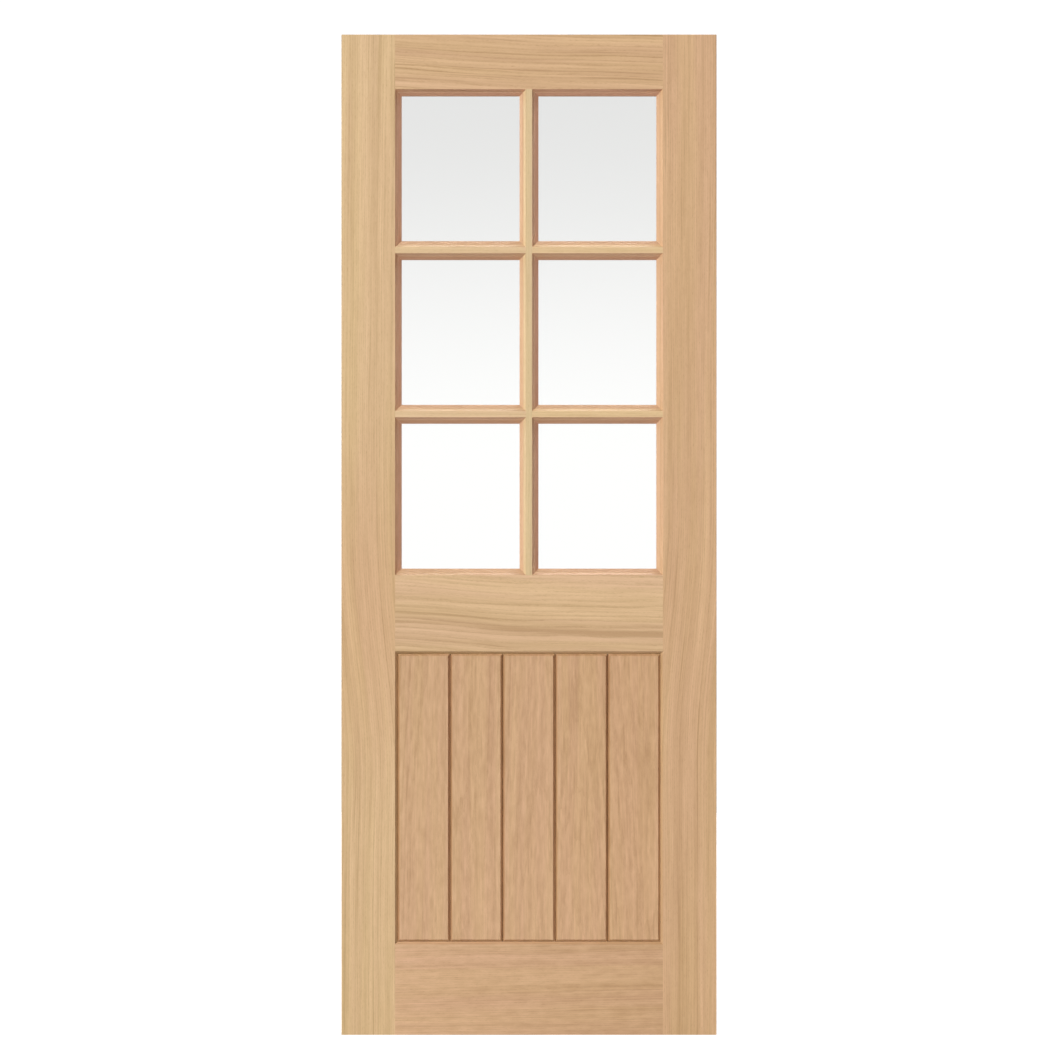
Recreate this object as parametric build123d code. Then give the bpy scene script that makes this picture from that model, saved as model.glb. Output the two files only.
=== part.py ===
from build123d import *
import os
from collections import namedtuple

# Oak door leaf: two stiles and three rails, six panes held by mitred beads in a grid
# of splayed glazing bars, and a lower panel of tongued and grooved boards with V joints.
# Millimetres. X runs from the hinge edge across the leaf, Y through its thickness with
# the front face at -Y, and Z up from the foot. Both faces are alike.

# Leaf
leaf_width = 762.0
leaf_height = 2032.0
leaf_thickness = 35.0
edge_arris = 1.0  # rounding of the stiles' long outer edges

# Stiles, rails and glazing bars
stile_width = 114.0
top_rail_height = 116.0
lock_rail_height = 165.0
bottom_rail_height = 189.0
panel_height = 585.0  # opening between the bottom rail and the lock rail
bar_width = 22.4
splay_width = 5.0  # splay on every inner edge of the frame, seen from the front
splay_depth = 6.5  # and measured into the leaf

# Glass and beads
glass_thickness = 4.0
glass_edge_gap = 2.0
bead_width = 8.0
bead_step = 0.6  # top of the bead below the foot of the splay
bead_land = 0.8  # flat strip along the bead's back edge
bead_nose = 1.0  # upright front edge of the bead on the glass
bead_mitre_gap = 0.05

# Boarded panel
board_count = 5
board_recess = 1.0  # board faces below the frame's faces
board_bevel_width = 4.0
board_bevel_depth = 5.8
board_gap = 1.0
tongue_thickness = 9.0
tongue_length = 8.0
groove_side_gap = 0.3
groove_end_gap = 1.5

# Mortise and tenon joints
rail_tenon_thickness = 12.0
rail_tenon_length = 65.0
rail_tenon_shoulder = 25.0
bar_tenon_thickness = 8.0
bar_tenon_length = 12.0
bar_tenon_shoulder = 5.0
bar_crossing_web = 6.0  # wood left in the upright bar between two opposed tenons
mortise_gap = 0.2

# Depths from the middle of the leaf
face_depth = leaf_thickness / 2
core_depth = face_depth - splay_depth
bead_depth = core_depth - bead_step
glass_depth = glass_thickness / 2
board_face_depth = face_depth - board_recess
board_edge_depth = board_face_depth - board_bevel_depth

# Places in elevation
leaf_middle = leaf_width / 2
opening_right = leaf_width - stile_width
panel_top = bottom_rail_height + panel_height
glazing_low = panel_top + lock_rail_height
glazing_high = leaf_height - top_rail_height
row_names = ("top", "middle", "bottom")
pane_width = (opening_right - stile_width - bar_width) / 2
pane_height = (glazing_high - glazing_low + bar_width) / len(row_names) - bar_width
bar_left = leaf_middle - bar_width / 2
bar_right = leaf_middle + bar_width / 2

# Rectangles and mitred strips in elevation
Area = namedtuple("Area", "left right low high")
sides = ("low", "right", "high", "left")


def grown(area, by):
    """The rectangle moved outwards by the same amount on all four sides."""
    return Area(area.left - by, area.right + by, area.low - by, area.high + by)


def corners(area):
    """Corner points, so that side number n runs from corner n to the next one."""
    return [
        Vector(area.left, area.low),
        Vector(area.right, area.low),
        Vector(area.right, area.high),
        Vector(area.left, area.high),
    ]


def mitred_strip(outer, inner, side, end_gap=0.0):
    """One side of the band between two nested rectangles, cut at 45 degrees at its ends."""
    first = sides.index(side)
    second = (first + 1) % len(sides)
    start = corners(outer)[first]
    end = corners(outer)[second]
    pull_in = (end - start).normalized() * end_gap
    return [
        start + pull_in,
        end - pull_in,
        corners(inner)[second] - pull_in,
        corners(inner)[first] + pull_in,
    ]


# Solids from outlines in elevation
def outline_at(points, depth):
    """A face with this outline, upright at the given depth along Y."""
    return Plane.XZ.offset(-depth) * make_face(Polyline(*points, close=True))


def slab(points, near, far):
    """The outline extruded along Y from the depth near to the depth far."""
    return extrude(outline_at(points, near), amount=near - far)


def hopper(wide, wide_depth, narrow, narrow_depth):
    """A solid with four sloping sides between two rectangles at different depths."""
    wide_end = outline_at(corners(wide), wide_depth)
    narrow_end = outline_at(corners(narrow), narrow_depth)
    return loft([wide_end, narrow_end], ruled=True)


def on_both_faces(front):
    """A solid on the front of the leaf together with its twin on the back."""
    return front + mirror(front, about=Plane.XZ)


def centred_slab(area, thickness):
    """A rectangle extruded evenly to both sides of the middle of the leaf."""
    return slab(corners(area), -thickness / 2, thickness / 2)


def tenon(area, thickness):
    """A tenon in the middle of the leaf's thickness."""
    return centred_slab(area, thickness)


def mortise(area, thickness):
    """The hole for a tenon, with the joint's clearance all round."""
    return centred_slab(grown(area, mortise_gap), thickness + 2 * mortise_gap)


def groove(area):
    """The channel that takes a board's tongue."""
    return centred_slab(area, tongue_thickness + 2 * groove_side_gap)


# Openings of the frame, measured at the foot of their splays
def pane_opening(row, column):
    """Opening of one pane, with rows counted down from the top and columns from the left."""
    left = (stile_width, bar_right)[column]
    high = glazing_high - row * (pane_height + bar_width)
    return Area(left, left + pane_width, high - pane_height, high)


rows = range(len(row_names))
left_panes = [pane_opening(row, 0) for row in rows]
right_panes = [pane_opening(row, 1) for row in rows]
panel_opening = Area(stile_width, opening_right, bottom_rail_height, panel_top)


# Frame members
def splay_strip(opening, side):
    """Splayed front edge of the member on one side of an opening, mitred into its neighbours."""
    rim = grown(opening, splay_width)
    strip = slab(mitred_strip(rim, opening, side), -face_depth, -core_depth)
    return strip - hopper(rim, -face_depth, opening, -core_depth)


def member(core, face, splayed_edges):
    """A member with a square-shouldered core and mitred, splayed faces laid over it."""
    front = slab(corners(face), -face_depth, -core_depth)
    for opening, side in splayed_edges:
        front += splay_strip(opening, side)
    return slab(corners(core), -core_depth, core_depth) + on_both_faces(front)


def rail_tenon_area(low, high):
    """Elevation of a rail's tenon in the hinge stile."""
    return Area(
        stile_width - rail_tenon_length,
        stile_width,
        low + rail_tenon_shoulder,
        high - rail_tenon_shoulder,
    )


def cross_bar_tenon_areas(row):
    """Elevations of the two tenons of the left cross bar under a row of panes."""
    low = left_panes[row].low - bar_width + bar_tenon_shoulder
    high = left_panes[row].low - bar_tenon_shoulder
    crossing_length = (bar_width - bar_crossing_web) / 2
    in_stile = Area(stile_width - bar_tenon_length, stile_width, low, high)
    in_upright = Area(bar_left, bar_left + crossing_length, low, high)
    return in_stile, in_upright


def upright_tenon_area(low, high):
    """Elevation of the upright bar's tenon between two levels."""
    return Area(bar_left + bar_tenon_shoulder, bar_right - bar_tenon_shoulder, low, high)


across_leaf = Plane.YZ.offset(leaf_middle)
groove_depth = tongue_length + groove_end_gap
top_tenon = rail_tenon_area(glazing_high, leaf_height)
lock_tenon = rail_tenon_area(panel_top, glazing_low)
bottom_tenon = rail_tenon_area(0.0, bottom_rail_height)
upright_top_tenon = upright_tenon_area(glazing_high, glazing_high + bar_tenon_length)
upright_foot_tenon = upright_tenon_area(glazing_low - bar_tenon_length, glazing_low)
cross_bar_rows = rows[:-1]


def make_stile():
    """Hinge stile with mortises for the rails and bars and a groove for the boards."""
    stile = member(
        Area(0.0, stile_width, 0.0, leaf_height),
        Area(0.0, stile_width - splay_width, 0.0, leaf_height),
        [(opening, "left") for opening in left_panes + [panel_opening]],
    )
    outer_edges = stile.edges().filter_by(Axis.Z).group_by(Axis.X)[0]
    stile = fillet(outer_edges, edge_arris)
    for area in (top_tenon, lock_tenon, bottom_tenon):
        stile -= mortise(area, rail_tenon_thickness)
    for row in cross_bar_rows:
        stile -= mortise(cross_bar_tenon_areas(row)[0], bar_tenon_thickness)
    groove_back = stile_width - groove_depth
    return stile - groove(Area(groove_back, stile_width, bottom_rail_height, panel_top))


def make_rail(low, high, tenon_area, splayed_edges):
    """A rail between the stiles with a tenon at each end; low and high bound its core."""
    bordered_sides = {side for opening, side in splayed_edges}
    face_low = low + splay_width if "high" in bordered_sides else low
    face_high = high - splay_width if "low" in bordered_sides else high
    rail = member(
        Area(stile_width, opening_right, low, high),
        Area(stile_width - splay_width, opening_right + splay_width, face_low, face_high),
        splayed_edges,
    )
    left_tenon = tenon(tenon_area, rail_tenon_thickness)
    return rail + left_tenon + mirror(left_tenon, about=across_leaf)


def make_top_rail():
    """Top rail, with a mortise for the upright bar."""
    edges = [(left_panes[0], "high"), (right_panes[0], "high")]
    rail = make_rail(glazing_high, leaf_height, top_tenon, edges)
    return rail - mortise(upright_top_tenon, bar_tenon_thickness)


def make_lock_rail():
    """Lock rail, with a mortise for the upright bar and a groove for the boards."""
    edges = [(left_panes[-1], "low"), (right_panes[-1], "low"), (panel_opening, "high")]
    rail = make_rail(panel_top, glazing_low, lock_tenon, edges)
    rail -= mortise(upright_foot_tenon, bar_tenon_thickness)
    return rail - groove(Area(stile_width, opening_right, panel_top, panel_top + groove_depth))


def make_bottom_rail():
    """Bottom rail, with a groove for the boards."""
    rail = make_rail(0.0, bottom_rail_height, bottom_tenon, [(panel_opening, "low")])
    groove_foot = bottom_rail_height - groove_depth
    return rail - groove(Area(stile_width, opening_right, groove_foot, bottom_rail_height))


def make_upright_bar():
    """Upright glazing bar from rail to rail, mortised on both sides for the cross bars."""
    edges = [(opening, "right") for opening in left_panes]
    edges += [(opening, "left") for opening in right_panes]
    face_left = bar_left + splay_width
    face_right = bar_right - splay_width
    bar = member(
        Area(bar_left, bar_right, glazing_low, glazing_high),
        Area(face_left, face_right, glazing_low - splay_width, glazing_high + splay_width),
        edges,
    )
    for area in (upright_top_tenon, upright_foot_tenon):
        bar += tenon(area, bar_tenon_thickness)
    for row in cross_bar_rows:
        left_mortise = mortise(cross_bar_tenon_areas(row)[1], bar_tenon_thickness)
        bar -= left_mortise + mirror(left_mortise, about=across_leaf)
    return bar


def make_cross_bar(row):
    """Left cross bar under a row of panes, from the hinge stile to the upright bar."""
    above = left_panes[row]
    below = left_panes[row + 1]
    face_left = stile_width - splay_width
    face_right = bar_left + splay_width
    bar = member(
        Area(stile_width, bar_left, below.high, above.low),
        Area(face_left, face_right, below.high + splay_width, above.low - splay_width),
        [(above, "low"), (below, "high")],
    )
    for area in cross_bar_tenon_areas(row):
        bar += tenon(area, bar_tenon_thickness)
    return bar


# Glazing
def make_pane(opening):
    """A sheet of glass in the middle of the leaf, clear of the wood at its edges."""
    return centred_slab(grown(opening, -glass_edge_gap), glass_thickness)


def make_front_beads(opening):
    """Four mitred beads that hold a pane from the front."""
    sight = grown(opening, -bead_width)
    land = grown(opening, -bead_land)
    slope = hopper(land, -bead_depth, sight, -glass_depth - bead_nose)
    beads = Part()
    for side in sides:
        strip = mitred_strip(opening, sight, side, bead_mitre_gap)
        beads += slab(strip, -bead_depth, -glass_depth) - slope
    return beads


# Boarded panel
def make_board(number):
    """A board with bevelled edges and ends, a groove at its left and tongues elsewhere."""
    pitch = (opening_right - stile_width) / board_count
    left = stile_width + number * pitch
    area = grown(Area(left, left + pitch, bottom_rail_height, panel_top), -board_gap / 2)
    field = grown(area, -board_bevel_width)
    raised_face = hopper(area, -board_edge_depth, field, -board_face_depth)
    board = slab(corners(area), -board_edge_depth, board_edge_depth) + on_both_faces(raised_face)
    tongues = [
        area._replace(left=area.right, right=area.right + tongue_length),
        area._replace(low=area.low - tongue_length, high=area.low),
        area._replace(low=area.high, high=area.high + tongue_length),
    ]
    if number == 0:
        tongues.append(area._replace(left=area.left - tongue_length, right=area.left))
    else:
        board -= groove(area._replace(right=area.left + groove_depth))
    for tongue in tongues:
        board += centred_slab(tongue, tongue_thickness)
    return board


# All pieces by name
hinge_stile = make_stile()
pieces = {
    "hinge_stile": hinge_stile,
    "lock_stile": mirror(hinge_stile, about=across_leaf),
    "top_rail": make_top_rail(),
    "lock_rail": make_lock_rail(),
    "bottom_rail": make_bottom_rail(),
    "upright_bar": make_upright_bar(),
}
for row, bar_name in zip(cross_bar_rows, ("upper", "lower")):
    left_bar = make_cross_bar(row)
    pieces[f"{bar_name}_cross_bar_left"] = left_bar
    pieces[f"{bar_name}_cross_bar_right"] = mirror(left_bar, about=across_leaf)
for column_name, openings in (("left", left_panes), ("right", right_panes)):
    for row_name, opening in zip(row_names, openings):
        front_beads = make_front_beads(opening)
        pieces[f"glass_{row_name}_{column_name}"] = make_pane(opening)
        pieces[f"front_beads_{row_name}_{column_name}"] = front_beads
        pieces[f"back_beads_{row_name}_{column_name}"] = mirror(front_beads, about=Plane.XZ)
for number in range(board_count):
    pieces[f"panel_board_{number + 1}"] = make_board(number)

os.makedirs("parts", exist_ok=True)
for name, piece in pieces.items():
    export_step(piece, f"parts/{name}.step")
    print(name, round(piece.volume), "mm3")
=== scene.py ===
import math

import bmesh
import bpy
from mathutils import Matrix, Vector


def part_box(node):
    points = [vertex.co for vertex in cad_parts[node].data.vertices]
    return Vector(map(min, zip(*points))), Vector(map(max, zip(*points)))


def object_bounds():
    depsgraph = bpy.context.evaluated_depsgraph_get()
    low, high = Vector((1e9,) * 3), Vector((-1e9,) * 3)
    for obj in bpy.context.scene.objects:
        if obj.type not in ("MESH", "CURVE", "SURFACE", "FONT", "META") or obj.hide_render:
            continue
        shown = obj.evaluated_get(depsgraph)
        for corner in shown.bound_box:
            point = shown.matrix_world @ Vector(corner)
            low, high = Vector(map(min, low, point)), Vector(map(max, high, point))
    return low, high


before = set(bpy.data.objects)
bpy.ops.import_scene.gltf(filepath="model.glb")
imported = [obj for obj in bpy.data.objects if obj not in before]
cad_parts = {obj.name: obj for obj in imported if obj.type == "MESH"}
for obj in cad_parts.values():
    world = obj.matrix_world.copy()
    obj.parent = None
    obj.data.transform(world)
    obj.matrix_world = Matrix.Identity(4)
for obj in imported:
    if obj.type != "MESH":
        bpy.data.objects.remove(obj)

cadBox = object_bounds()
lowCorner, highCorner = cadBox
leafCentre = (lowCorner + highCorner) / 2
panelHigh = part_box("panel_board_1")[1].z
scene = bpy.context.scene
white = (1.0, 1.0, 1.0, 1.0)
print("frame loaded:", len(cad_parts), "pieces")


# small helpers for node trees

def addNode(tree, kind, **options):
    node = tree.nodes.new(kind)
    for name, value in options.items():
        setattr(node, name, value)
    return node


def addSockets(tree, side, kind, *names):
    for name in names:
        tree.interface.new_socket(name=name, in_out=side, socket_type=kind)


def feed(tree, socket, value):  # a socket takes a link or a plain value
    if isinstance(value, bpy.types.NodeSocket):
        tree.links.new(value, socket)
    else:
        socket.default_value = value


def calc(tree, operation, *values, clamp=False):
    node = addNode(tree, "ShaderNodeMath", operation=operation, use_clamp=clamp)
    for socket, value in zip(node.inputs, values):
        feed(tree, socket, value)
    return node.outputs[0]


def vectorCalc(tree, operation, *values):
    node = addNode(tree, "ShaderNodeVectorMath", operation=operation)
    for socket, value in zip(node.inputs, values):
        feed(tree, socket, value)
    return node.outputs[0]


def spread(tree, value, fromLow, fromHigh, toLow=0.0, toHigh=1.0, smooth=True):
    node = addNode(tree, "ShaderNodeMapRange")
    node.interpolation_type = "SMOOTHSTEP" if smooth else "LINEAR"
    for name, given in (("Value", value), ("From Min", fromLow), ("From Max", fromHigh),
                        ("To Min", toLow), ("To Max", toHigh)):
        feed(tree, node.inputs[name], given)
    return node.outputs["Result"]


def noiseAt(tree, vector, stretch, detail, roughness, output="Fac"):
    scaled = vectorCalc(tree, "MULTIPLY", vector, stretch)
    node = addNode(tree, "ShaderNodeTexNoise", noise_dimensions="3D")
    feed(tree, node.inputs["Vector"], scaled)
    feed(tree, node.inputs["Scale"], 1.0)
    feed(tree, node.inputs["Detail"], detail)
    feed(tree, node.inputs["Roughness"], roughness)
    return node.outputs[output]


def swingAt(tree, vector, noise):  # noise that swings round zero
    return calc(tree, "SUBTRACT", noiseAt(tree, vector, *noise), 0.5)


def blendColours(tree, factor, first, second, mode="MIX"):
    node = addNode(tree, "ShaderNodeMix", data_type="RGBA", blend_type=mode)
    feed(tree, node.inputs[0], factor)
    feed(tree, node.inputs[6], first)
    feed(tree, node.inputs[7], second)
    return node.outputs[2]


def splitVector(tree, vector):
    node = addNode(tree, "ShaderNodeSeparateXYZ")
    feed(tree, node.inputs[0], vector)
    return node.outputs[0], node.outputs[1], node.outputs[2]


def joinVector(tree, x, y, z):
    node = addNode(tree, "ShaderNodeCombineXYZ")
    for socket, value in zip(node.inputs, (x, y, z)):
        feed(tree, socket, value)
    return node.outputs[0]


# oak: growth rings round a pith, cut by the faces of the piece, with the grain along Z
oakLook = {
    # noises: stretch per metre, detail, roughness
    "wander": ((2.6, 2.6, 1.0), 2.0, 0.5),        # slow bends of the fibres
    "ragged": ((90.0, 90.0, 7.0), 2.0, 0.5),      # small wobble of each ring
    "uneven": ((26.0, 26.0, 0.5), 1.0, 0.5),      # wide and narrow years
    "streak": ((64.0, 64.0, 0.9), 5.0, 0.68),     # broad pale and dark streaks
    "line": ((230.0, 230.0, 1.6), 2.0, 0.5),      # sparse darker lines
    "mottle": ((120.0, 120.0, 32.0), 2.0, 0.5),   # short cloudy patches
    "fibre": ((430.0, 430.0, 9.0), 2.0, 0.6),     # fine lines along the grain
    "veinBreak": ((60.0, 60.0, 3.0), 2.0, 0.5),   # where a vein fades
    "hue": ((30.0, 30.0, 1.2), 2.0, 0.5),         # drift between straw and pink
    "fleck": ((520.0, 520.0, 48.0), 1.0, 0.5),    # groups of pores, about 2 mm by 20 mm
    "pore": ((1900.0, 1900.0, 150.0), 0.0, 0.5),  # open pores, under 1 mm by 7 mm
    # from where a noise counts, and where it counts in full
    "lineRange": (0.58, 0.76),
    "veinRange": (0.30, 0.60),
    "hueRange": (0.36, 0.64),
    "fleckRange": (0.56, 0.72),
    "poreRange": (0.58, 0.72),
    # rings, veins and pores
    "raggedShare": 0.8,                           # of a ring's width
    "unevenShare": 5.0,                           # ring widths
    "arcRadius": 0.12,                            # metres, makes the angle round the pith a length
    "earlyFade": 1.7,                             # power by which early wood fades into late wood
    "yearTones": (0.25, 1.0),                     # a pale year and a dark one
    "veinWidth": 0.0075,                          # metres
    "veinLeast": 0.25,                            # of a vein where it fades
    "openRange": (0.15, 0.85),                    # pores open with the share of early wood
    "openShares": (0.35, 1.0),
    "fleckShare": 0.6,                            # of an open pore
    # tone, tints, painted shade and finish
    "toneStart": 0.40,
    "ringMean": 0.22,                             # taken off the rings
    "fibreDepth": 0.68,
    "straw": (1.01, 1.01, 0.95, 1.0),
    "pink": (1.005, 0.975, 0.975, 1.0),
    "polish": (1.05, 0.88, 0.95, 1.0),            # painted shade: redder and darker on the mouldings round the panes, most where they look right or down
    "flush": (0.95, 0.88, 0.88, 1.0),             # a redder stretch of a long piece
    "groove": (0.76, 0.67, 0.61, 1.0),            # painted shade: darker down the slopes of a groove that look left
    "ledge": (0.85, 0.83, 0.83, 1.0),             # painted shade: darker on the mouldings that look up
    "roughness": 0.45,
    "ringRough": 0.10,
    "poreRough": 0.18,
    "fibreHeight": 0.25,                          # of a pore's depth
}


def makeOakGroup():
    look = oakLook
    tree = bpy.data.node_groups.new("oakFigure", "ShaderNodeTree")
    addSockets(tree, "INPUT", "NodeSocketVector", "Vector", "Seed")
    addSockets(tree, "INPUT", "NodeSocketFloat", "Polish", "Flush", "Groove", "Ledge", "Pith X", "Pith Y",
               "Ring Width", "Lean", "Wander", "Ring Depth", "Streak Depth", "Line Depth", "Mottle Depth",
               "Pore Depth", "Vein Radius", "Vein Depth", "Drift Along", "Drift Across")
    addSockets(tree, "INPUT", "NodeSocketColor", "Pale", "Dark", "Pore")
    addSockets(tree, "OUTPUT", "NodeSocketColor", "Color")
    addSockets(tree, "OUTPUT", "NodeSocketFloat", "Roughness", "Height")
    given = addNode(tree, "NodeGroupInput").outputs
    place = given["Vector"]
    seeded = vectorCalc(tree, "ADD", place, given["Seed"])

    # slow bends, then the distance from the pith
    bend = noiseAt(tree, seeded, *look["wander"], output="Color")
    bend = vectorCalc(tree, "SUBTRACT", bend, (0.5, 0.5, 0.5))
    bends = splitVector(tree, bend)
    x, y, z = splitVector(tree, place)
    bentX = calc(tree, "MULTIPLY_ADD", bends[0], given["Wander"], x)
    bentY = calc(tree, "MULTIPLY_ADD", bends[1], given["Wander"], y)
    acrossX = calc(tree, "SUBTRACT", bentX, given["Pith X"])
    acrossY = calc(tree, "SUBTRACT", bentY, given["Pith Y"])
    squares = calc(tree, "MULTIPLY_ADD", acrossX, acrossX, calc(tree, "MULTIPLY", acrossY, acrossY))
    radius = calc(tree, "MULTIPLY_ADD", z, given["Lean"], calc(tree, "SQRT", squares))
    around = calc(tree, "ARCTAN2", acrossX, calc(tree, "MULTIPLY", acrossY, -1.0))
    arc = calc(tree, "MULTIPLY", around, look["arcRadius"])
    raggedReach = calc(tree, "MULTIPLY", given["Ring Width"], look["raggedShare"])
    ragged = calc(tree, "MULTIPLY", swingAt(tree, seeded, look["ragged"]), raggedReach)
    unevenReach = calc(tree, "MULTIPLY", given["Ring Width"], look["unevenShare"])
    unevenPlace = vectorCalc(tree, "ADD", joinVector(tree, radius, 0.0, z), given["Seed"])
    uneven = calc(tree, "MULTIPLY", swingAt(tree, unevenPlace, look["uneven"]), unevenReach)
    cutRadius = calc(tree, "ADD", radius, ragged)
    ringRadius = calc(tree, "ADD", cutRadius, uneven)

    # rings: porous early wood fades into dense late wood, and no two years are alike
    years = calc(tree, "DIVIDE", ringRadius, given["Ring Width"])
    early = calc(tree, "SUBTRACT", 1.0, calc(tree, "FRACT", years))
    early = calc(tree, "POWER", early, look["earlyFade"])
    year = addNode(tree, "ShaderNodeTexWhiteNoise", noise_dimensions="1D")
    feed(tree, year.inputs["W"], calc(tree, "FLOOR", years))
    yearTone = spread(tree, year.outputs["Value"], 0.0, 1.0, *look["yearTones"], smooth=False)
    rings = calc(tree, "MULTIPLY", early, yearTone)

    # streaks and fibres follow the rings
    cut = vectorCalc(tree, "ADD", joinVector(tree, cutRadius, arc, z), given["Seed"])
    streak = swingAt(tree, cut, look["streak"])
    line = spread(tree, noiseAt(tree, cut, *look["line"]), *look["lineRange"])
    mottle = swingAt(tree, cut, look["mottle"])
    fibre = swingAt(tree, cut, look["fibre"])
    fromVein = calc(tree, "ABSOLUTE", calc(tree, "SUBTRACT", cutRadius, given["Vein Radius"]))
    vein = spread(tree, fromVein, 0.0, look["veinWidth"], 1.0, 0.0)
    veinBreak = noiseAt(tree, cut, *look["veinBreak"])
    vein = calc(tree, "MULTIPLY", vein, spread(tree, veinBreak, *look["veinRange"], look["veinLeast"]))
    hue = spread(tree, noiseAt(tree, cut, *look["hue"]), *look["hueRange"])
    fleck = spread(tree, noiseAt(tree, cut, *look["fleck"]), *look["fleckRange"])
    pore = spread(tree, noiseAt(tree, cut, *look["pore"]), *look["poreRange"])
    openness = spread(tree, early, *look["openRange"], *look["openShares"])
    pores = calc(tree, "MAXIMUM", calc(tree, "MULTIPLY", fleck, look["fleckShare"]), pore)
    pores = calc(tree, "MULTIPLY", pores, openness)

    # tone from pale to dark
    tone = calc(tree, "MULTIPLY", calc(tree, "SUBTRACT", rings, look["ringMean"]), given["Ring Depth"])
    tone = calc(tree, "MULTIPLY_ADD", streak, given["Streak Depth"], tone)
    tone = calc(tree, "MULTIPLY_ADD", line, given["Line Depth"], tone)
    tone = calc(tree, "MULTIPLY_ADD", mottle, given["Mottle Depth"], tone)
    tone = calc(tree, "MULTIPLY_ADD", vein, given["Vein Depth"], tone)
    tone = calc(tree, "MULTIPLY_ADD", fibre, look["fibreDepth"], tone)
    tone = calc(tree, "MULTIPLY_ADD", z, given["Drift Along"], tone)
    tone = calc(tree, "MULTIPLY_ADD", x, given["Drift Across"], tone)
    tone = calc(tree, "ADD", tone, look["toneStart"], clamp=True)
    colour = blendColours(tree, tone, given["Pale"], given["Dark"])
    tint = blendColours(tree, hue, look["straw"], look["pink"])
    colour = blendColours(tree, 1.0, colour, tint, mode="MULTIPLY")
    colour = blendColours(tree, calc(tree, "MULTIPLY", pores, given["Pore Depth"]), colour, given["Pore"])

    # four masks from the material, each with its own tint: painted shade on the mouldings, on their ledges
    # and in the grooves, and a redder stretch of wood
    for mask in ("Polish", "Flush", "Groove", "Ledge"):
        tinted = blendColours(tree, 1.0, colour, look[mask.lower()], mode="MULTIPLY")
        colour = blendColours(tree, given[mask], colour, tinted)

    rough = calc(tree, "MULTIPLY_ADD", rings, look["ringRough"], look["roughness"])
    rough = calc(tree, "MULTIPLY_ADD", pores, look["poreRough"], rough)
    height = calc(tree, "MULTIPLY_ADD", fibre, look["fibreHeight"], calc(tree, "MULTIPLY", pores, -1.0))
    result = addNode(tree, "NodeGroupOutput").inputs
    tree.links.new(colour, result["Color"])
    tree.links.new(rough, result["Roughness"])
    tree.links.new(height, result["Height"])
    return tree


oakGroup = makeOakGroup()

oakColour = {
    "pale": (0.657, 0.463, 0.266),
    "dark": (0.453, 0.297, 0.144),
    "pore": (0.325, 0.196, 0.080),
    "poreBump": 0.00022,           # metres
    "bumpStrength": 0.35,
    "seedSpread": (1.7, 2.9, 4.3),  # each piece is cut from another place in the tree
}


def toned(colour, tone):
    return tuple(channel * share for channel, share in zip(colour, tone)) + (1.0,)


def grainFrame(tree, centre, along, tilt=0.0, sway=None):  # turns the piece so that its grain lies on Z
    where = addNode(tree, "ShaderNodeTexCoord").outputs["Object"]
    turn = addNode(tree, "ShaderNodeMapping", vector_type="TEXTURE")
    feed(tree, turn.inputs["Vector"], where)
    turn.inputs["Location"].default_value = centre
    quarter = math.pi / 2 if along == "across" else 0.0
    turn.inputs["Rotation"].default_value = (0.0, quarter + math.radians(tilt), 0.0)
    if sway is None:
        return turn.outputs["Vector"]
    shift, low, high = sway  # the grain shifts sideways between two places along it
    x, y, z = splitVector(tree, turn.outputs["Vector"])
    return joinVector(tree, calc(tree, "SUBTRACT", x, spread(tree, z, low, high, 0.0, shift)), y, z)


# splays and beads round the panes, told from flat faces by which way they look, to carry painted shade
mouldings = {
    "forward": 0.6,                # forward part of a slope's normal
    "forwardReach": 0.3,           # and how far from it still counts
    "turn": 0.5,                   # from looking left or up to looking right or down
    "litPolish": 0.25,             # share of the painted shade where they look left or up
    "ledgeRise": 0.4,              # upward part of a ledge's normal
}


def mouldingMasks(tree):  # painted shade on the mouldings above the panel, most where they look right or down, and on their ledges that look up
    look = mouldings
    where = addNode(tree, "ShaderNodeTexCoord").outputs
    sideways, forward, upwards = splitVector(tree, where["Normal"])
    facing = calc(tree, "ABSOLUTE", forward)
    slope = calc(tree, "COMPARE", facing, look["forward"], look["forwardReach"])
    above = calc(tree, "GREATER_THAN", splitVector(tree, where["Object"])[2], panelHigh)
    moulding = calc(tree, "MULTIPLY", slope, above)
    looking = calc(tree, "SUBTRACT", sideways, upwards)
    # painted shade in full where they look right or down, a quarter of it where they look left or up
    share = spread(tree, looking, -look["turn"], look["turn"], look["litPolish"])
    # painted shade: darker on the moulding faces that look up
    ledge = calc(tree, "GREATER_THAN", upwards, look["ledgeRise"])
    return calc(tree, "MULTIPLY", moulding, share), calc(tree, "MULTIPLY", moulding, ledge)


def flushMask(tree, middle, reach):  # fades out both ways along the height of the leaf
    height = splitVector(tree, addNode(tree, "ShaderNodeTexCoord").outputs["Object"])[2]
    away = calc(tree, "ABSOLUTE", calc(tree, "SUBTRACT", height, middle))
    return spread(tree, away, 0.0, reach, 1.0, 0.0)


def grooveMask(tree, face, full, leftward):  # painted shade that grows down the slopes of a groove that look left
    where = addNode(tree, "ShaderNodeTexCoord").outputs
    sideways = splitVector(tree, where["Normal"])[0]
    forward = splitVector(tree, where["Object"])[1]
    sunk = calc(tree, "SUBTRACT", face, calc(tree, "ABSOLUTE", forward))
    looksLeft = calc(tree, "LESS_THAN", sideways, leftward)
    return calc(tree, "MULTIPLY", spread(tree, sunk, 0.0, full), looksLeft)


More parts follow.
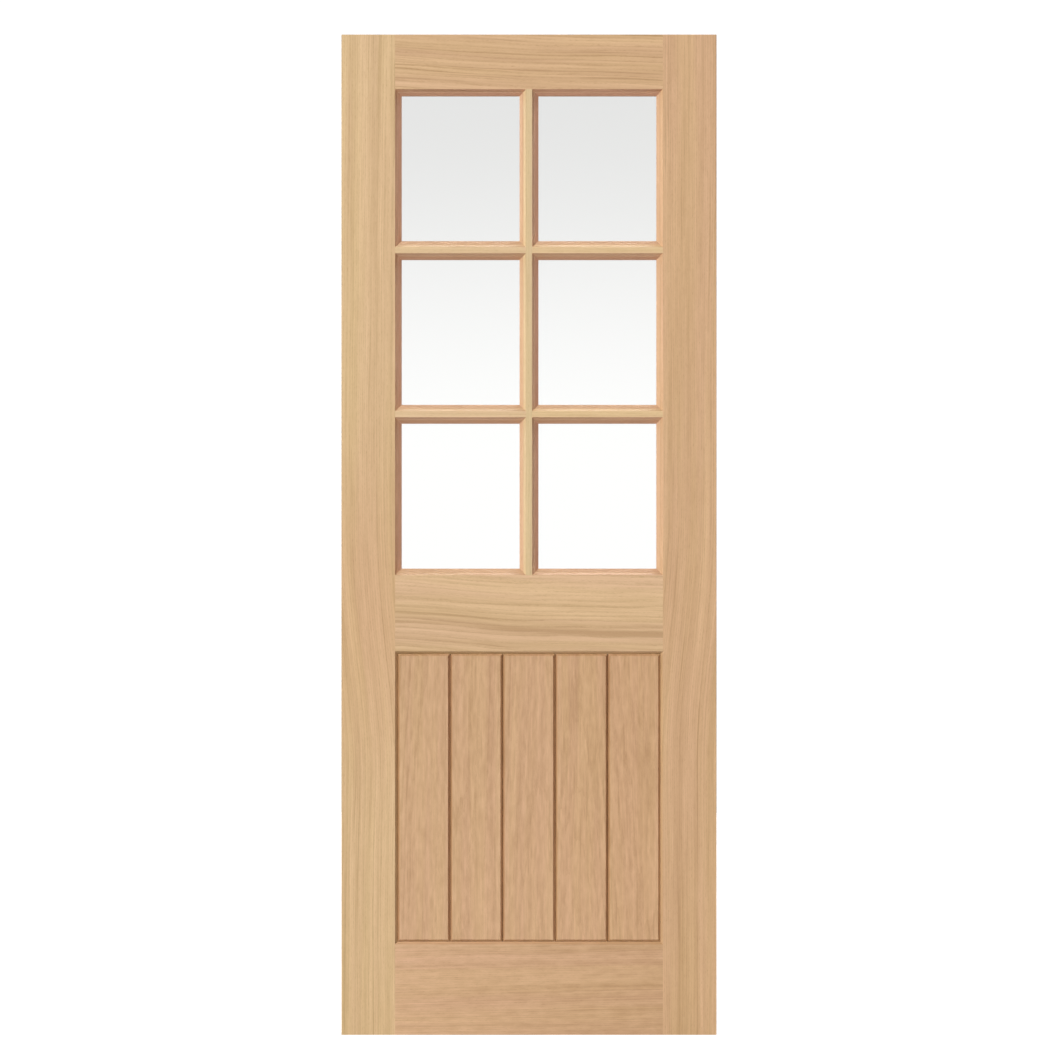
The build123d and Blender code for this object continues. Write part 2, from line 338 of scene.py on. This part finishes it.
def makeOak(name, settings, vectorFrom):
    material = bpy.data.materials.new(name)
    material.use_nodes = True
    tree = material.node_tree
    tree.nodes.clear()
    shader = addNode(tree, "ShaderNodeBsdfPrincipled")
    output = addNode(tree, "ShaderNodeOutputMaterial")
    tree.links.new(shader.outputs["BSDF"], output.inputs["Surface"])
    pithX, pithY = settings["pith"]
    veinAcross, veinDepth = settings.get("vein", (0.0, 0.0))     # place across the piece, tone
    driftAlong, driftAcross = settings.get("drift", (0.0, 0.0))  # tone per metre
    # painted shade on the mouldings round the panes and on their ledges
    polish, ledge = mouldingMasks(tree)
    values = {
        "Vector": vectorFrom(tree),
        "Polish": polish,
        "Ledge": ledge,
        "Seed": tuple(settings["seed"] * share for share in oakColour["seedSpread"]),
        "Pith X": pithX,
        "Pith Y": pithY,
        "Ring Width": settings["ring"],
        "Lean": settings["lean"],
        "Wander": settings["wander"],
        "Ring Depth": settings["ringDepth"],
        "Streak Depth": settings["streakDepth"],
        "Line Depth": settings["lineDepth"],
        "Mottle Depth": settings["mottleDepth"],
        "Pore Depth": settings["poreDepth"],
        "Vein Radius": Vector((veinAcross - pithX, lowCorner.y - pithY)).length,
        "Vein Depth": veinDepth,
        "Drift Along": driftAlong,
        "Drift Across": driftAcross,
        "Pale": toned(oakColour["pale"], settings["tone"]),
        "Dark": toned(oakColour["dark"], settings["tone"]),
        "Pore": toned(oakColour["pore"], settings["tone"]),
    }
    if "flush" in settings:
        values["Flush"] = flushMask(tree, **settings["flush"])
    # painted shade down the left-looking slopes of the board grooves
    if "groove" in settings:
        values["Groove"] = grooveMask(tree, **settings["groove"])
    oak = addNode(tree, "ShaderNodeGroup", node_tree=oakGroup)
    for socketName, value in values.items():
        feed(tree, oak.inputs[socketName], value)
    bump = addNode(tree, "ShaderNodeBump")
    bump.inputs["Strength"].default_value = oakColour["bumpStrength"]
    bump.inputs["Distance"].default_value = oakColour["poreBump"]
    tree.links.new(oak.outputs["Height"], bump.inputs["Height"])
    tree.links.new(oak.outputs["Color"], shader.inputs["Base Color"])
    tree.links.new(oak.outputs["Roughness"], shader.inputs["Roughness"])
    tree.links.new(bump.outputs["Normal"], shader.inputs["Normal"])
    return material


def dress(nodeName, material):
    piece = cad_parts[nodeName]
    piece.data.materials.clear()
    piece.data.materials.append(material)


def middleOf(nodeName):
    low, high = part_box(nodeName)
    return (low + high) / 2


def oakFor(nodeName, settings):
    centre = middleOf(nodeName)

    def pieceGrain(tree):
        return grainFrame(tree, centre, settings["grain"], settings.get("tilt", 0.0), settings.get("sway"))

    dress(nodeName, makeOak("oak_" + nodeName, settings, pieceGrain))


# stiles: straight grain, the full height of the leaf
stiles = {
    "hinge_stile": dict(grain="up", seed=3.1, pith=(0.21, 0.06), ring=0.0046, lean=0.006, wander=0.024,
                        ringDepth=0.36, streakDepth=1.55, lineDepth=0.45, mottleDepth=0.30, poreDepth=0.36,
                        sway=(-0.040, -0.50, 0.02), drift=(0.06, 0.0), flush=dict(middle=0.86, reach=0.50),
                        tone=(1.045, 1.10, 1.05)),
    "lock_stile": dict(grain="up", seed=8.4, pith=(-0.24, 0.05), ring=0.0042, lean=0.004, wander=0.020,
                       ringDepth=0.36, streakDepth=1.65, lineDepth=0.45, mottleDepth=0.30, poreDepth=0.36,
                       sway=(0.040, -0.50, 0.04), drift=(-0.06, 0.0), tone=(0.985, 0.95, 0.93)),
}
for name, settings in stiles.items():
    oakFor(name, settings)
print("stiles dressed")

# rails: the grain runs across the leaf
rails = {
    "top_rail": dict(grain="across", tilt=2.6, seed=12.7, pith=(0.19, 0.07), ring=0.0075, lean=0.012,
                     wander=0.040, ringDepth=0.46, streakDepth=2.10, lineDepth=0.80, mottleDepth=0.15,
                     poreDepth=0.36, vein=(0.006, 0.45), tone=(0.99, 0.975, 0.94)),
    "lock_rail": dict(grain="across", tilt=1.6, seed=21.3, pith=(0.10, 0.055), ring=0.0080, lean=0.015,
                      wander=0.046, ringDepth=0.46, streakDepth=1.80, lineDepth=0.60, mottleDepth=0.15,
                      poreDepth=0.36, vein=(0.017, 0.95), sway=(0.014, -0.27, 0.0),
                      drift=(0.0, 2.4), tone=(1.02, 1.04, 1.06)),
    "bottom_rail": dict(grain="across", tilt=-0.6, seed=33.9, pith=(-0.22, 0.06), ring=0.0044, lean=0.004,
                        wander=0.018, ringDepth=0.34, streakDepth=0.95, lineDepth=0.30, mottleDepth=0.85,
                        poreDepth=0.34, drift=(0.70, 0.0), tone=(0.995, 0.945, 0.965)),
}
for name, settings in rails.items():
    oakFor(name, settings)
print("rails dressed")

# boards of the lower panel: flat-sawn, each with its own arches
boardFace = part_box("panel_board_1")[1].y
boards = {
    "grain": "up",
    "ring": 0.0072,
    "wander": 0.030,
    "ringDepth": 0.22,
    "streakDepth": 1.20,
    "lineDepth": 0.30,
    "mottleDepth": 1.05,
    "poreDepth": 0.28,
    "groove": dict(face=boardFace, full=0.00348, leftward=-0.3),  # painted shade in full 3.5 mm down
    "drift": (0.35, 0.0),
}
boardSet = [
    dict(seed=41.0, pith=(0.032, 0.070), lean=0.030, tone=(0.965, 0.915, 0.905)),
    dict(seed=46.3, pith=(-0.045, 0.075), lean=-0.022, tone=(0.965, 0.905, 0.90)),
    dict(seed=51.6, pith=(0.018, 0.060), lean=0.035, tone=(0.96, 0.90, 0.89)),
    dict(seed=56.9, pith=(-0.010, 0.055), lean=0.045, tone=(0.955, 0.89, 0.87)),
    dict(seed=62.2, pith=(0.030, 0.080), lean=-0.028, tone=(0.96, 0.89, 0.87)),
]
for number, settings in enumerate(boardSet, start=1):
    oakFor("panel_board_%d" % number, dict(boards, **settings))
print("boards dressed")

# glazing bars: narrow sticks of straight grain
barOak = dict(pith=(0.16, 0.05), ring=0.0040, lean=0.004, wander=0.014, ringDepth=0.24, streakDepth=0.70,
              lineDepth=0.15, mottleDepth=0.15, poreDepth=0.30)
bars = {
    "upright_bar": dict(grain="up", seed=70.2, tone=(1.065, 1.21, 1.235)),
    "upper_cross_bar_left": dict(grain="across", seed=74.6, tone=(1.14, 1.255, 1.28)),
    "upper_cross_bar_right": dict(grain="across", seed=79.1, tone=(1.14, 1.235, 1.24)),
    "lower_cross_bar_left": dict(grain="across", seed=83.8, tone=(1.14, 1.255, 1.28)),
    "lower_cross_bar_right": dict(grain="across", seed=88.5, tone=(1.14, 1.235, 1.24)),
}
for name, settings in bars.items():
    oakFor(name, dict(barOak, **settings))
print("bars dressed")

# glazing beads: each set has upright and level beads, told apart by which way their faces look
beads = dict(seed=95.4, pith=(0.14, 0.04), ring=0.0038, lean=0.004, wander=0.010, ringDepth=0.24,
             streakDepth=0.70, lineDepth=0.15, mottleDepth=0.15, poreDepth=0.30, tone=(1.0, 0.985, 1.02))


def beadGrain(tree):
    upright = grainFrame(tree, leafCentre, "up")
    level = grainFrame(tree, leafCentre, "across")
    facing = splitVector(tree, addNode(tree, "ShaderNodeTexCoord").outputs["Normal"])
    sideways = calc(tree, "ABSOLUTE", facing[0])
    upwards = calc(tree, "ABSOLUTE", facing[2])
    pick = addNode(tree, "ShaderNodeMix", data_type="VECTOR")
    feed(tree, pick.inputs[0], calc(tree, "GREATER_THAN", upwards, sideways))
    feed(tree, pick.inputs[4], upright)
    feed(tree, pick.inputs[5], level)
    return pick.outputs[1]


beadOak = makeOak("oak_beads", beads, beadGrain)
beadSets = [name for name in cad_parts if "beads" in name]
for name in beadSets:
    dress(name, beadOak)
print("bead sets dressed:", len(beadSets))

# clear glass, with the faint unevenness of handled panes
glassLook = {
    "colour": (0.975, 0.988, 0.982, 1.0),
    "ior": 1.5,
    "smear": ((9.0, 9.0, 5.0), 4.0, 0.5),    # stretch per metre, detail, roughness
    "smearRange": (0.45, 0.75),
    "roughRange": (0.0, 0.012),
}


def makeGlass():
    material = bpy.data.materials.new("clear_glass")
    material.use_nodes = True
    tree = material.node_tree
    tree.nodes.clear()
    shader = addNode(tree, "ShaderNodeBsdfPrincipled")
    shader.inputs["Base Color"].default_value = glassLook["colour"]
    shader.inputs["Transmission Weight"].default_value = 1.0
    shader.inputs["IOR"].default_value = glassLook["ior"]
    where = addNode(tree, "ShaderNodeTexCoord").outputs["Object"]
    smear = noiseAt(tree, where, *glassLook["smear"])
    rough = spread(tree, smear, *glassLook["smearRange"], *glassLook["roughRange"])
    tree.links.new(rough, shader.inputs["Roughness"])
    clear = addNode(tree, "ShaderNodeBsdfTransparent")
    ray = addNode(tree, "ShaderNodeLightPath")
    mix = addNode(tree, "ShaderNodeMixShader")  # lamps shine through the panes
    output = addNode(tree, "ShaderNodeOutputMaterial")
    tree.links.new(ray.outputs["Is Shadow Ray"], mix.inputs[0])
    tree.links.new(shader.outputs["BSDF"], mix.inputs[1])
    tree.links.new(clear.outputs["BSDF"], mix.inputs[2])
    tree.links.new(mix.outputs["Shader"], output.inputs["Surface"])
    return material


glass = makeGlass()
panes = [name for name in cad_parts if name.startswith("glass_")]
for name in panes:
    dress(name, glass)
print("panes dressed:", len(panes))

# camera: square on to the leaf, far back
viewpoint = {
    "lens": 150.0,              # millimetres
    "sensor": 36.0,             # millimetres
    "frameWidth": 2.149,        # metres across the picture, at the face of the leaf
    "rise": 0.0116,             # metres above the middle of the leaf
    "farClip": 200.0,           # metres
}
eyeDistance = viewpoint["frameWidth"] * viewpoint["lens"] / viewpoint["sensor"]
eyePlace = Vector((leafCentre.x, lowCorner.y - eyeDistance, leafCentre.z + viewpoint["rise"]))


def makeCamera():
    lens = bpy.data.cameras.new("camera")
    lens.lens = viewpoint["lens"]
    lens.sensor_width = viewpoint["sensor"]
    lens.clip_end = viewpoint["farClip"]
    camera = bpy.data.objects.new("camera", lens)
    camera.location = eyePlace
    camera.rotation_euler = (math.pi / 2, 0.0, 0.0)
    scene.collection.objects.link(camera)
    scene.camera = camera


makeCamera()
print("camera set")

# studio: a white floor and backdrop, and warm fill between the wooden faces
studio = {
    "floorSize": 14.0,
    "floorColour": (0.24, 0.24, 0.24, 1.0),
    "floorRough": 0.9,
    "floorGlow": 0.95,                       # only to the eye, so that the floor bounces little light
    "backdrop": 1.08,
    "ambient": (0.150, 0.060, 0.064, 1.0),   # warm, as light is between wooden faces
    "paneColour": (1.0, 0.995, 0.99, 1.0),   # what shows through the panes
    "paneRange": (0.15, 1.04),               # shares of the rise from the eye to the top of the panes
    "paneStrengths": (1.06, 0.83),           # at those two heights
    "paneGlow": (0.60, 0.20, 0.27, 1.0),     # what comes through them on to the mouldings
    "bounced": 0.5,                          # between no bounce off a dull face and one
}
# lights: a large soft one from the upper left, a small one that grazes the face, and one behind
lights = {
    "keyLight": dict(direction=(-0.50, -1.0, 0.38), distance=40.0, size=12.0, power=16900.0),
    "sideLight": dict(direction=(-1.0, -0.10, 0.16), distance=6.0, size=1.6, power=34.0),
    "backLight": dict(direction=(0.55, 1.0, 0.95), distance=10.0, size=4.5, power=1250.0),
}


def makeFloor():
    mesh = bpy.data.meshes.new("floor")
    shape = bmesh.new()
    bmesh.ops.create_grid(shape, x_segments=1, y_segments=1, size=studio["floorSize"] / 2)
    shape.to_mesh(mesh)
    shape.free()
    floor = bpy.data.objects.new("floor", mesh)
    floor.location = (leafCentre.x, leafCentre.y, lowCorner.z)
    scene.collection.objects.link(floor)
    material = bpy.data.materials.new("floor_white")
    material.use_nodes = True
    tree = material.node_tree
    shader = tree.nodes["Principled BSDF"]
    shader.inputs["Base Color"].default_value = studio["floorColour"]
    shader.inputs["Roughness"].default_value = studio["floorRough"]
    shader.inputs["Emission Color"].default_value = white
    ray = addNode(tree, "ShaderNodeLightPath").outputs
    seen = calc(tree, "MAXIMUM", ray["Is Camera Ray"], ray["Is Transmission Ray"])
    direct = calc(tree, "LESS_THAN", ray["Diffuse Depth"], studio["bounced"])
    glow = calc(tree, "MULTIPLY", calc(tree, "MULTIPLY", seen, direct), studio["floorGlow"])
    tree.links.new(glow, shader.inputs["Emission Strength"])
    mesh.materials.append(material)


def makeLight(name, direction, distance, size, power):
    lamp = bpy.data.lights.new(name, "AREA")
    lamp.shape = "SQUARE"
    lamp.size = size
    lamp.energy = power
    holder = bpy.data.objects.new(name, lamp)
    towards = Vector(direction).normalized()
    holder.location = leafCentre + towards * distance
    holder.rotation_mode = "QUATERNION"
    holder.rotation_quaternion = towards.to_track_quat("Z", "Y")
    holder.visible_camera = False
    holder.visible_transmission = False
    scene.collection.objects.link(holder)


def addSky(tree, colour, strength=1.0):
    sky = addNode(tree, "ShaderNodeBackground")
    sky.inputs["Color"].default_value = colour
    feed(tree, sky.inputs["Strength"], strength)
    return sky.outputs[0]


def eitherSky(tree, factor, first, second):
    mix = addNode(tree, "ShaderNodeMixShader")
    for socket, link in zip(mix.inputs, (factor, first, second)):
        tree.links.new(link, socket)
    return mix.outputs[0]


def makeWorld():
    world = bpy.data.worlds.new("studio")
    scene.world = world
    world.use_nodes = True
    tree = world.node_tree
    tree.nodes.clear()
    ray = addNode(tree, "ShaderNodeLightPath").outputs
    rise = splitVector(tree, addNode(tree, "ShaderNodeTexCoord").outputs["Generated"])[2]
    topRise = (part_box("glass_top_left")[1].z - eyePlace.z) / eyeDistance
    lowRise, highRise = [share * topRise for share in studio["paneRange"]]
    paneStrength = spread(tree, rise, lowRise, highRise, *studio["paneStrengths"])
    bounced = calc(tree, "GREATER_THAN", ray["Diffuse Depth"], studio["bounced"])
    shown = addSky(tree, studio["paneColour"], paneStrength)
    throughPane = eitherSky(tree, bounced, shown, addSky(tree, studio["paneGlow"]))
    fromSides = eitherSky(tree, ray["Is Transmission Ray"], addSky(tree, studio["ambient"]), throughPane)
    backdrop = addSky(tree, white, studio["backdrop"])
    output = addNode(tree, "ShaderNodeOutputWorld")
    tree.links.new(eitherSky(tree, ray["Is Camera Ray"], fromSides, backdrop), output.inputs["Surface"])


makeFloor()
makeWorld()
for name, settings in lights.items():
    makeLight(name, **settings)
scene.view_settings.view_transform = "Standard"
scene.view_settings.look = "None"
print("studio lit")
